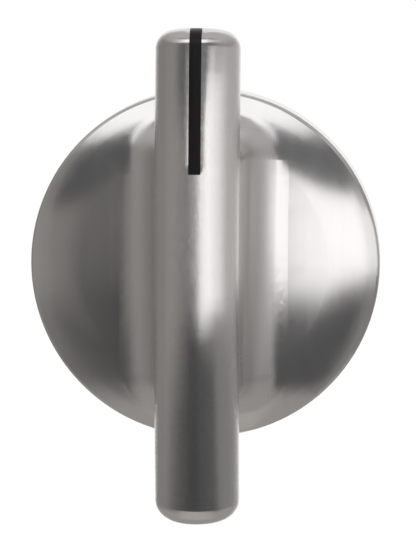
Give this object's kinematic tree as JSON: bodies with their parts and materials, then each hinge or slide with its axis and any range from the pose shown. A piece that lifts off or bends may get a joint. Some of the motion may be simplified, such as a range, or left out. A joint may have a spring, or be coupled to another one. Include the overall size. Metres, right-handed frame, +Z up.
{
  "type": "oven control knob",
  "caption": "Metal oven control knob: a round, gently bowed grip bar on a pedestal across a domed dish, with a black pointer line and a D-socket insert behind.",
  "frame": {"origin": "centre of the stem socket's mouth, in the plane of the dish's back rim, which lies on the panel", "axes": "+Y into the panel along the stem, +Z up along the grip bar toward the pointer end, +X to the right as the cook faces the knob, which looks along -Y"},
  "size_m": [0.051, 0.03, 0.0702],
  "materials": {
    "satin_metal": "die-cast zinc, plated and finely brushed along the bar",
    "black_enamel": "black enamel filled into the groove",
    "black_moulding": "glass-filled heat-resistant moulding, fine spark texture",
    "screw_steel": "bright zinc-plated steel",
    "spring_steel": "rolled spring steel strip"
  },
  "bodies": {
    "root": {"knob_body": "satin_metal", "pointer_inlay": "black_enamel", "stem_insert": "black_moulding", "insert_screws": "screw_steel", "stem_clip": "spring_steel"}
  },
  "joints": []
}
